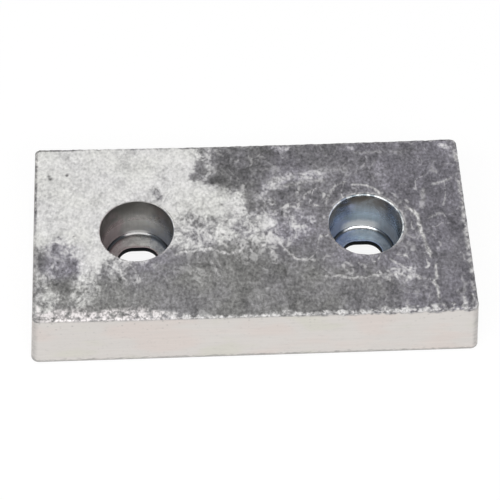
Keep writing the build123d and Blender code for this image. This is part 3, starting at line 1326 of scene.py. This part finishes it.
@dataclass
class CastBlock:
    """The casting: wear face, drafted sides, back face and the two seats that hold the cups.

    The wear face is a grid with lines at _lines, out to a band inside the edge. Round each cup a
    square patch is left out of it, which the rings of _seat fill.
    """

    name: str
    node: str
    cups: tuple[CupSizes, ...]
    draft: float = math.radians(5.0)
    height: float = 30.0 * MM
    back_corner: float = 3.5 * MM
    front_corner: float = 2.5 * MM
    back_edge: float = 1.5 * MM
    dish: float = 1.0 * MM
    band: float = 1.6 * MM
    skirt: float = 3.0 * MM
    patch: float = 26.0 * MM
    recess_lap: float = 1.0 * MM
    recess_draft: float = math.radians(8.0)
    recess_edge: float = 0.8 * MM
    insets: tuple[float, float, float] = (3.0 * MM, 4.2 * MM, 6.0 * MM)
    inset_corner: float = 0.8 * MM
    corner_cells: int = 4
    end_cells: int = 32
    patch_cells: int = 96
    middle_cells: int = 92
    ring_rows: int = 24

    def __post_init__(self) -> None:
        """Works out the sharp outline from the node's box and the rounding of its back edge."""
        _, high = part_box(self.node)
        overhang = self.back_edge * (math.tan(self.draft) + 1 / math.cos(self.draft) - 1)
        self.back_length = high.x + overhang
        self.back_width = high.y + overhang
        inset = self.height * math.tan(self.draft)
        self.face = WearFace(self.back_length - inset, self.back_width - inset, self.height,
                             self.cups, self.dish, high.z)
        self.grid_corner = self.front_corner - self.band

    # -- outline ---------------------------------------------------------------

    def _lines(self) -> tuple[np.ndarray, np.ndarray]:
        """Where the wear face's grid lines run.

        Returns:
            Their places along X and along Y.
        """
        corner, s = self.grid_corner, self.patch
        a = self.face.half_length - self.band
        b = self.face.half_width - self.band
        c = abs(self.cups[0].centre)
        ends = (self.corner_cells, self.end_cells, self.patch_cells)
        x = stepped((-a, corner - a, -c - s, s - c, c - s, c + s, a - corner, a),
                    (*ends, self.middle_cells, *ends[::-1]))
        y = stepped((-b, corner - b, -s, s, b - corner, b), (*ends, *ends[1::-1]))
        return x, y

    @staticmethod
    def _rounded(x: np.ndarray, y: np.ndarray, a: float, b: float, radius: float) -> np.ndarray:
        """Draws the corner squares of a rectangle in to quarter discs.

        A point keeps its direction from the arc's centre, and its distance becomes the larger of
        its two offsets, so that the square's outer sides land on the arc.

        Args:
            x: First coordinate of each point.
            y: Second coordinate of each point.
            a: Half the rectangle's length.
            b: Half its width.
            radius: Radius of the corners.

        Returns:
            The plan of the points, with x and y on the last axis.
        """
        u, v = np.abs(x) - (a - radius), np.abs(y) - (b - radius)
        corner = (u > 0) & (v > 0)
        scale = np.where(corner, np.maximum(u, v) / np.maximum(np.hypot(u, v), 1e-12), 1.0)
        nx = np.where(corner, np.sign(x) * (a - radius + u * scale), x)
        ny = np.where(corner, np.sign(y) * (b - radius + v * scale), y)
        return np.stack([nx, ny], -1)

    @staticmethod
    def _loop(grid: np.ndarray) -> np.ndarray:
        """Border of a grid whose rows run along Y, anticlockwise from its low corner."""
        return np.concatenate([grid[0, :-1], grid[:-1, -1], grid[-1, :0:-1], grid[:0:-1, 0]])

    def _outline(self, border: np.ndarray, length: Numbers, width: Numbers, radius: Numbers) -> np.ndarray:
        """Points of a rounded rectangle: share of the core, plus the radius along the outward way."""
        core = np.stack([length - radius, width - radius], -1)
        return border[:, :2] * core + border[:, 2:] * np.asarray(radius)[..., None]

    # -- parts of the shell ----------------------------------------------------

    def _wear_grid(self, shell: Shell) -> np.ndarray:
        """Adds the wear face.

        Args:
            shell: Takes the surface.

        Returns:
            Array of border points, each with its share of the core along X and Y and its
            outward direction along X and Y.
        """
        x_lines, y_lines = self._lines()
        x, y = np.meshgrid(x_lines, y_lines)
        size = np.array([x_lines[-1], y_lines[-1]])
        plan = self._rounded(x, y, *size, self.grid_corner)
        height, masks = self.face.surface(plan[..., 0], plan[..., 1])
        mid_x = (x[:-1, :-1] + x[1:, 1:]) / 2
        mid_y = (y[:-1, :-1] + y[1:, 1:]) / 2
        keep = np.ones(mid_x.shape, bool)
        for cup in self.cups:
            keep &= (np.abs(mid_x - cup.centre) > self.patch) | (np.abs(mid_y) > self.patch)
        shell.grid(raised(plan, height), masks, closed=False, keep=keep)

        edge = self._loop(np.stack([x, y], -1))
        core = np.clip(edge / (size - self.grid_corner), -1, 1)
        out = edge - core * (size - self.grid_corner)
        out /= np.linalg.norm(out, axis=1, keepdims=True)
        return np.concatenate([core, out], axis=1)

    def _front_edge(self, shell: Shell, border: np.ndarray) -> np.ndarray:
        """Adds the band along the wear face's border, the worn edge and the top of the sides.

        The edge is an arc whose radius wanders along the border. Noise pushes each torn point
        along its outward direction.

        Args:
            shell: Takes the surface.
            border: What _wear_grid returned.

        Returns:
            The lowest row of points.
        """
        face, band = self.face, self.band
        x, y = self._outline(border, face.half_length - band, face.half_width - band, self.grid_corner).T
        way_x, way_y = border[:, 2:].T
        top, top_masks = face.surface(x, y)
        wander = fractal_noise(x + y, x - y, 6 * MM, 61, 4)
        ease = np.clip(0.75 + 0.45 * wander, 0.3, 1.3) * MM

        # Rows, as ways out and down from the inner loop: the band, the arc and the skirt.
        lean = np.linspace(0.0, math.pi / 2 - self.draft, 7)[:, None]
        start = band - ease * math.tan(math.pi / 4 - self.draft / 2)
        out = np.concatenate([np.linspace(0.0, 1.0, 4)[:3, None] * start, start + ease * np.sin(lean)])
        down = np.concatenate([np.zeros((3, len(x))), ease * (1 - np.cos(lean))])
        drop = np.linspace(0.0, 1.0, 4)[1:, None] * (self.skirt - down[-1:])
        out = np.concatenate([out, out[-1:] + drop * math.tan(self.draft)])
        down = np.concatenate([down, down[-1:] + drop])

        px, py = x + way_x * out, y + way_y * out
        level = mix(top, face.dish_height(x) - face.sink, smoothstep(0.0, 1.4 * MM, down + out))
        torn = smoothstep(0.0, 1.0, np.minimum(np.arange(len(out)), 3)[:, None] / 3)
        torn = torn * fall(0.6 * MM, 2.6 * MM, down)
        chip = fractal_noise(px + py, px - py + 2 * down, 1.8 * MM, 63)
        on_front = smoothstep(-0.2, -0.9, way_y)
        push = torn * chip * (0.10 + 0.14 * on_front) * MM
        px, py = px + way_x * push, py + way_y * push
        pz = np.minimum(level - down + 0.5 * push, face.ceiling)
        pz[0] = top

        # Skin hangs over the right of the front. At the back and the left the edge is dark.
        hang = 1.4 * MM * on_front * smoothstep(5 * MM, 45 * MM, x) * np.clip(0.4 + wander, 0.0, 1.2)
        fade = smoothstep(0.35 * MM, 1.5 * MM, down - hang)
        _, masks = face.surface(px, py)
        back_left = smoothstep(0.9, 0.1, np.maximum(-way_y, way_x))
        clean = smoothstep(-84, -74, x / MM) * smoothstep(-26, -34, x / MM)
        dark = smoothstep(0.2 * MM, 0.7 * MM, out) * back_left * (1 - 0.75 * clean)
        masks["tone"] = mix(masks["tone"], mix(0.15, 0.34, smoothstep(0.3, 0.9, -way_x)),
                            dark * np.clip(0.85 + 0.3 * wander, 0.5, 1.0))
        masks["crest"] = np.maximum(
            masks["crest"], 0.75 * torn * smoothstep(-0.3, 0.3, chip) * mix(0.35, 1.0, on_front))
        for name in ("lace", "crest", "pit"):
            masks[name] = masks[name] * (1 - fade)
        for name, values in top_masks.items():
            masks[name][0] = values
        masks["side"] = np.clip(fade + 0.25 * chip * torn, 0, 1)
        masks["side"][0] = 0.0
        points = np.stack([px, py, pz], -1)
        shell.grid(points, masks)
        return points[-1]

    def _sides(self, shell: Shell, border: np.ndarray, top: np.ndarray) -> np.ndarray:
        """Adds the sides, which lean in by the draft, and the rounded back edge.

        Args:
            shell: Takes the surface.
            border: What _wear_grid returned.
            top: What _front_edge returned.

        Returns:
            The last loop, where the back edge runs into the back face.
        """
        def loops(inset: np.ndarray, radius: np.ndarray) -> np.ndarray:
            """Plans of loops inside the sharp outline."""
            return self._outline(border, self.back_length - inset, self.back_width - inset, radius)

        share = np.linspace(0.0, 1.0, 9)[:, None]
        z = mix(top[None, :, 2], self.back_edge * (1 + math.sin(self.draft)), share)
        plan = loops(z * math.tan(self.draft), mix(self.back_corner, self.front_corner, z / self.height))
        wave = 0.06 * MM * fractal_noise(plan[..., 0] + plan[..., 1], z, 16 * MM, 65)
        walls = raised(plan + border[:, 2:] * (wave * np.sin(math.pi * share))[..., None], z)
        walls[0] = top
        shell.grid(walls, {"side": 1.0})

        # Back edge: an arc that ends level with the back face.
        turn = np.linspace(self.draft, -math.pi / 2, 6)[:, None]
        step_in = self.back_edge * (math.tan(self.draft) + 1 / math.cos(self.draft) - np.cos(turn))
        z = np.broadcast_to(self.back_edge * (1 + np.sin(turn)), (len(turn), len(border)))
        corner = mix(self.back_corner, self.front_corner, z / self.height) - (step_in - step_in[0])
        arc = raised(loops(step_in, np.maximum(corner, 0.5 * MM)), z)
        arc[0] = walls[-1]
        shell.grid(arc, {"side": 1.0})
        return arc[-1]

    def _seat(self, shell: Shell, cup: CupSizes) -> np.ndarray:
        """Adds the rings of wear face round a cup, the seat and the stud recess under the cup.

        Args:
            shell: Takes the surface.
            cup: Sizes of the cup that the seat holds.

        Returns:
            The ring where the recess opens in the back face.
        """
        middle = np.array([cup.centre, 0.0])
        turn = turns(4 * self.patch_cells) - 0.75 * math.pi
        around = np.stack([np.cos(turn), np.sin(turn)], -1)
        side = np.linspace(-1.0, 1.0, self.patch_cells + 1)[:-1]
        one = np.ones(self.patch_cells)
        sides = ((side, -one), (one, side), (-side, one), (-one, -side))
        square = np.concatenate([np.stack(pair, -1) for pair in sides]) * self.patch
        lip = self.face.lip_radius(cup, turn)[:, None] * around
        share = (np.linspace(0.0, 1.0, self.ring_rows + 1) ** 1.15)[:, None, None]
        plan = mix(lip, square, share) + middle
        height, masks = self.face.surface(plan[..., 0], plan[..., 1])
        shell.grid(raised(plan, height), masks)

        def ring(radius: float, z: float, every: int = 1) -> np.ndarray:
            """A level ring round the cup's axis, with every so many points of the full one."""
            return raised(radius * around[::every] + middle, z)

        # Under the skin's lip, over the bevel and down the wall, where the loop thins out.
        under_lip = cup.rim_height + 0.01 * MM
        rows = [raised(plan[0], height[0]), raised(plan[0], under_lip),
                ring(cup.land_radius, cup.rim_height), ring(*cup.shoulder)]
        shell.grid(np.stack(rows), {"side": 0.5})
        knuckle = cup.knuckle_arc(True, 7)[::-1]
        halfway = (np.array(cup.shoulder) + knuckle[0]) / 2
        shell.halving(rows[-1], ring(*halfway, 2), {"side": 0.5})
        shell.halving(ring(*halfway, 2), ring(*knuckle[0], 4), {"side": 0.5})

        # Knuckle, lap under the cup, recess wall and its rounded edge.
        recess = knuckle[-1, 0] - self.recess_lap
        mouth = recess + cup.underside * math.tan(self.recess_draft)
        r = self.recess_edge
        centre_r = mouth + r * (1 / math.cos(self.recess_draft) - math.tan(self.recess_draft))
        bend = np.linspace(self.recess_draft, math.pi / 2, 6)
        rounded = [(centre_r - r * math.cos(t), r - r * math.sin(t)) for t in bend]
        rings = np.stack([ring(*place, 4) for place in (*knuckle, (recess, cup.underside), *rounded)])
        shell.grid(rings, {"side": 1.0})
        return rings[-1]

    def _back_face(self, shell: Shell, border: np.ndarray, edge: np.ndarray,
                   recesses: list[np.ndarray]) -> None:
        """Adds the flat back face: loops that thin out, a coarse grid and rings at each recess.

        Args:
            shell: Takes the surface.
            border: What _wear_grid returned.
            edge: What _sides returned.
            recesses: The ring of each recess.
        """
        thin, radius, mask = 4, self.inset_corner, {"side": 1.0}
        first, second, last = self.insets

        def loop(inset: float, every: int) -> np.ndarray:
            """A loop at a distance inside the sharp outline, with every so many points."""
            return raised(self._outline(border[::every], self.back_length - inset, self.back_width - inset,
                                        np.full(len(border[::every]), radius)), 0.0)

        def coarse(lines: np.ndarray, end: float) -> np.ndarray:
            """Every fourth of the wear face's lines, spread out to the last loop."""
            lines, corner = lines[::thin], self.grid_corner
            return np.where(np.abs(lines) > lines[-1] - corner / 2, np.sign(lines) * end,
                            lines / (lines[-1] - corner) * (end - radius))

        outer, middle, inner = loop(first, 1), loop(second, 2), loop(last, thin)
        shell.grid(np.stack([edge, outer]), mask)
        shell.halving(outer, middle, mask)
        shell.halving(middle, inner, mask)

        size = (self.back_length - last, self.back_width - last)
        x, y = np.meshgrid(*(coarse(lines, end) for lines, end in zip(self._lines(), size)))
        points = raised(self._rounded(x, y, *size, radius), 0.0)
        ends, patch = (self.corner_cells + self.end_cells) // thin, self.patch_cells // thin
        keep = np.ones((len(points) - 1, len(points[0]) - 1), bool)
        for start, recess in zip((ends, ends + patch + self.middle_cells // thin), recesses):
            keep[ends:ends + patch, start:start + patch] = False
            square = self._loop(points[ends:ends + patch + 1, start:start + patch + 1])
            shell.grid(mix(recess, square, np.linspace(0.0, 1.0, 7)[:, None, None]), mask)
        shell.grid(points, mask, closed=False, keep=keep)

    def build(self, groups: Groups) -> bpy.types.Object:
        """Builds and dresses the block, in place of its node.

        Args:
            groups: The shared shader groups.

        Returns:
            The block.
        """
        shell = Shell(("tone", "hue", "lace", "crest", "blush", "pit", "side"))
        border = self._wear_grid(shell)
        edge = self._sides(shell, border, self._front_edge(shell, border))
        recesses = [self._seat(shell, cup) for cup in self.cups]
        self._back_face(shell, border, edge, recesses)
        piece = shell.finished(self.name, math.radians(50))
        piece.data.materials.append(CastFinish().material(groups))
        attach(piece, BODY)
        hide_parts(self.node)
        return piece


# --------------------------------------------------------------------------- studio

def compass(azimuth: float, elevation: float) -> Vector:
    """Direction at degrees of azimuth, from -Y towards +X, and of elevation."""
    a, e = math.radians(azimuth), math.radians(elevation)
    return Vector((math.sin(a) * math.cos(e), -math.cos(a) * math.cos(e), math.sin(e)))


@dataclass(frozen=True)
class Viewpoint:
    """Where the camera stands, as angles round a point on the floor plane."""

    target: tuple[float, float, float] = (0.31 * MM, 8.51 * MM, 0.0)
    elevation: float = 54.50
    azimuth: float = -4.31
    roll: float = 1.834
    distance: float = 901.3 * MM
    focal_pixels: float = 1943.3

    def camera(self) -> bpy.types.Object:
        """Makes the camera.

        Returns:
            The camera, which the scene looks through.
        """
        back = compass(self.azimuth, self.elevation)
        right = Vector((0, 0, 1)).cross(back).normalized()
        right.rotate(Matrix.Rotation(math.radians(self.roll), 3, back))
        up = back.cross(right)
        data = bpy.data.cameras.new("camera")
        data.sensor_width = SENSOR_WIDTH
        data.lens = self.focal_pixels / FRAME_SIDE * SENSOR_WIDTH
        data.clip_start, data.clip_end = 0.01, 20.0
        camera = placed("camera", data)
        turn = Matrix((right, up, back)).transposed().to_4x4()
        camera.matrix_world = Matrix.Translation(Vector(self.target) + back * self.distance) @ turn
        bpy.context.scene.camera = camera
        return camera


@dataclass(frozen=True)
class Softbox:
    """A rectangular area lamp that points at the block."""

    name: str
    azimuth: float
    elevation: float
    distance: float
    width: float
    height: float
    power: float

    def lamp(self) -> bpy.types.Object:
        """Makes the lamp.

        Returns:
            The lamp.
        """
        data = bpy.data.lights.new(self.name, "AREA")
        data.shape, data.size, data.size_y, data.energy = "RECTANGLE", self.width, self.height, self.power
        way = compass(self.azimuth, self.elevation)
        lamp = placed(self.name, data)
        lamp.location = way * self.distance
        lamp.rotation_euler = way.to_track_quat("Z", "Y").to_euler()
        return lamp


@dataclass(frozen=True)
class Studio:
    """Plain pale floor, white surroundings and soft light."""

    key: Softbox = Softbox("key", -15.0, 54.0, 1.6, 2.8, 0.6, 19.0)
    daylight: float = 0.55
    floor_half: float = 3.0
    floor_white: float = 0.86
    floor_glow: float = 1.03
    paper: Colour = (0.9, 0.9, 0.9)
    white: Colour = (1.0, 1.0, 1.0)

    @staticmethod
    def _seen(nodes: Nodes, lit: Signal, shown: Signal, white: float = 1.0) -> Signal:
        """Mixes what lights the scene with what is shown to the camera, in gloss and through glass.

        Args:
            nodes: Tree to build in.
            lit: Shader for all other rays.
            shown: Shader for those three kinds of ray.
            white: How far shown covers lit there.

        Returns:
            The mixed shader.
        """
        path = nodes.add("ShaderNodeLightPath")
        camera, gloss, glass = (Signal(nodes, path.outputs[f"Is {kind} Ray"])
                                for kind in ("Camera", "Glossy", "Transmission"))
        share = (camera + gloss + glass).clamped() * white
        return nodes.value("ShaderNodeMixShader", {0: share, 1: lit, 2: shown})

    def _world(self) -> None:
        """White for what is seen, and a plain level for what is lit."""
        world = bpy.data.worlds.new("studio")
        bpy.context.scene.world = world
        world.use_nodes = True
        nodes = Nodes(world.node_tree)
        lit, shown = (nodes.value("ShaderNodeBackground", {"Color": (*self.white, 1.0), "Strength": level})
                      for level in (self.daylight, 1.0))
        nodes.add("ShaderNodeOutputWorld", {0: self._seen(nodes, lit, shown)})

    def _floor(self) -> None:
        """A wide floor that is white where it is seen and still takes the block's shadow."""
        h = self.floor_half
        mesh = bpy.data.meshes.new("floor")
        mesh.from_pydata([(-h, -h, 0), (h, -h, 0), (h, h, 0), (-h, h, 0)], [], [(0, 1, 2, 3)])
        material, nodes = new_material("floor_paper")
        paper = nodes.value("ShaderNodeBsdfDiffuse", {"Color": (*self.paper, 1.0)})
        glow = nodes.value("ShaderNodeEmission", {"Color": (*self.white, 1.0), "Strength": self.floor_glow})
        nodes.add("ShaderNodeOutputMaterial", {0: self._seen(nodes, paper, glow, self.floor_white)})
        mesh.materials.append(material)
        placed("floor", mesh)

    def build(self) -> None:
        """Sets up floor, surroundings and lamp."""
        bpy.context.scene.view_settings.view_transform = "Standard"
        self._world()
        self._floor()
        self.key.lamp()


# --------------------------------------------------------------------------- main

def main() -> None:
    logging.basicConfig(level=logging.INFO, format="%(name)s: %(message)s")
    groups = Groups.made()
    cups = {side: CupSizes.of(f"insert_cup_{side}") for side in ("left", "right")}
    wear = {"left": CupWear(Passivate.GREY, highlight_start=0.89, shine=0.40, ease=0.25 * MM),
            "right": CupWear(Passivate.BLUE, highlight_start=0.82, shine=1.0, ease=0.60 * MM)}

    block = CastBlock("cast_block", "anode_casting", tuple(cups.values())).build(groups)
    log.info("built %s", block.name)
    for side, sizes in cups.items():
        cup = InsertCup(f"plated_cup_{side}", f"insert_cup_{side}", sizes, wear[side]).build(groups)
        log.info("built %s", cup.name)
    Studio().build()
    log.info("camera %s", Viewpoint().camera().name)


if __name__ == "__main__":
    main()
